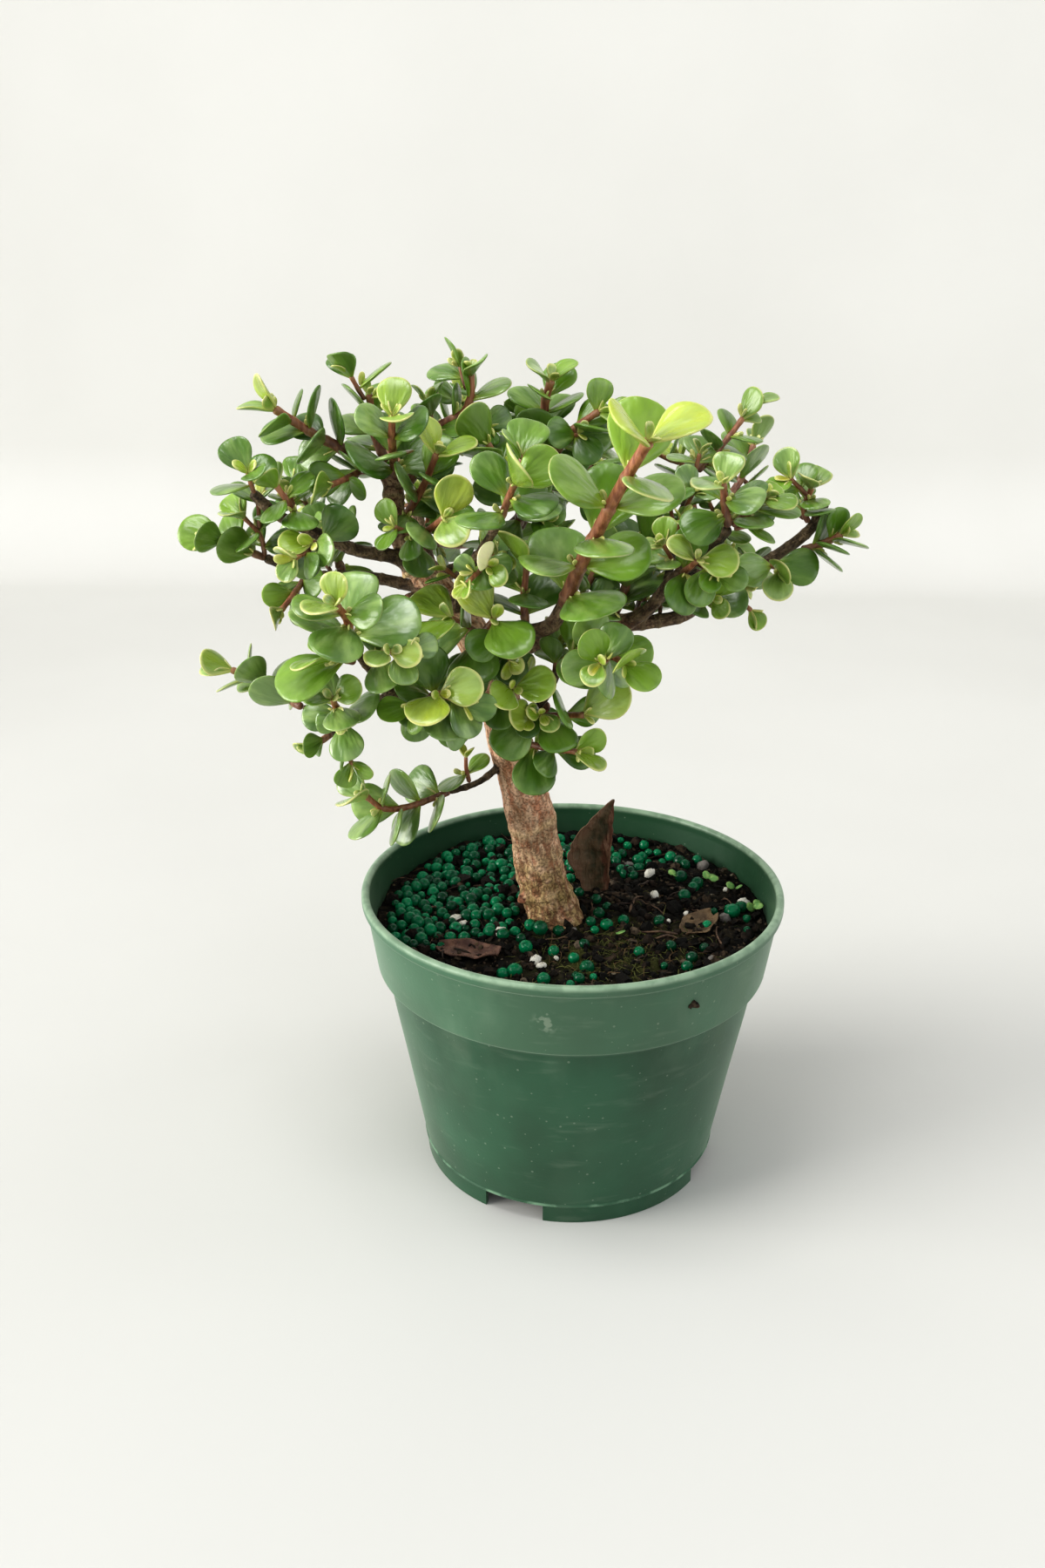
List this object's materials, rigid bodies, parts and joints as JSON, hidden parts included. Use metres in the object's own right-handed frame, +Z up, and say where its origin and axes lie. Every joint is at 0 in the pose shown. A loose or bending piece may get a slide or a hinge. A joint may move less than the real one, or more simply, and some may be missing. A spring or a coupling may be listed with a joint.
{
  "type": "potted elephant bush bonsai",
  "caption": "Small succulent tree with a leaning brown trunk, forking limbs and plump variegated leaves, in a green plastic nursery pot of soil.",
  "frame": {"origin": "on the pot's axis, on the surface that the pot stands on", "axes": "+Z up along the pot's axis, +X to the right of the picture, +Y away from its front"},
  "size_m": [0.2272, 0.1635, 0.289],
  "materials": {
    "pot": "satin",
    "soil": "matte",
    "bark": "rough",
    "leaf": "glossy",
    "dead_leaf": "matte"
  },
  "bodies": {
    "root": {"back_centre": "leaf", "back_centre_up": "leaf", "back_down": "leaf", "back_far_right": "leaf", "back_far_up": "leaf", "back_left": "leaf", "back_left_low": "leaf", "back_right_low": "leaf", "back_top": "leaf", "centre_mid": "leaf", "centre_right": "leaf", "dry_leaf": "dead_leaf", "fallen_leaf_front": "dead_leaf", "fallen_leaf_right": "dead_leaf", "foot_left": "leaf", "foot_right": "leaf", "foot_sprout": "leaf", "fore_low": "leaf", "fore_top": "leaf", "front_shoot": "leaf", "left_end": "leaf", "left_fore_mid": "leaf", "left_high": "leaf", "left_high_low": "leaf", "left_low_fore": "leaf", "left_lowest": "leaf", "left_mid_low": "leaf", "left_mid_tip": "leaf", "left_tip": "leaf", "left_tip_up": "leaf", "mid_fore": "leaf", "pot": "pot", "right_fork_out": "leaf", "right_fork_up": "leaf", "right_high_tip": "leaf", "right_low_fore": "leaf", "right_mid": "leaf", "right_mid_low": "leaf", "right_tip": "leaf", "right_tip_low": "leaf", "right_tip_up": "leaf", "right_twig_low": "leaf", "right_twig_tip": "leaf", "right_under": "leaf", "right_under_twig": "leaf", "rosette": "leaf", "rosette_low": "leaf", "rosette_right": "leaf", "rosette_under": "leaf", "soil": "soil", "top": "leaf", "top_right": "leaf", "trunk": "bark", "trunk_fore_low": "leaf", "trunk_front": "leaf", "up_front": "leaf", "up_left": "leaf", "up_mid": "leaf", "up_right": "leaf"}
  },
  "joints": []
}
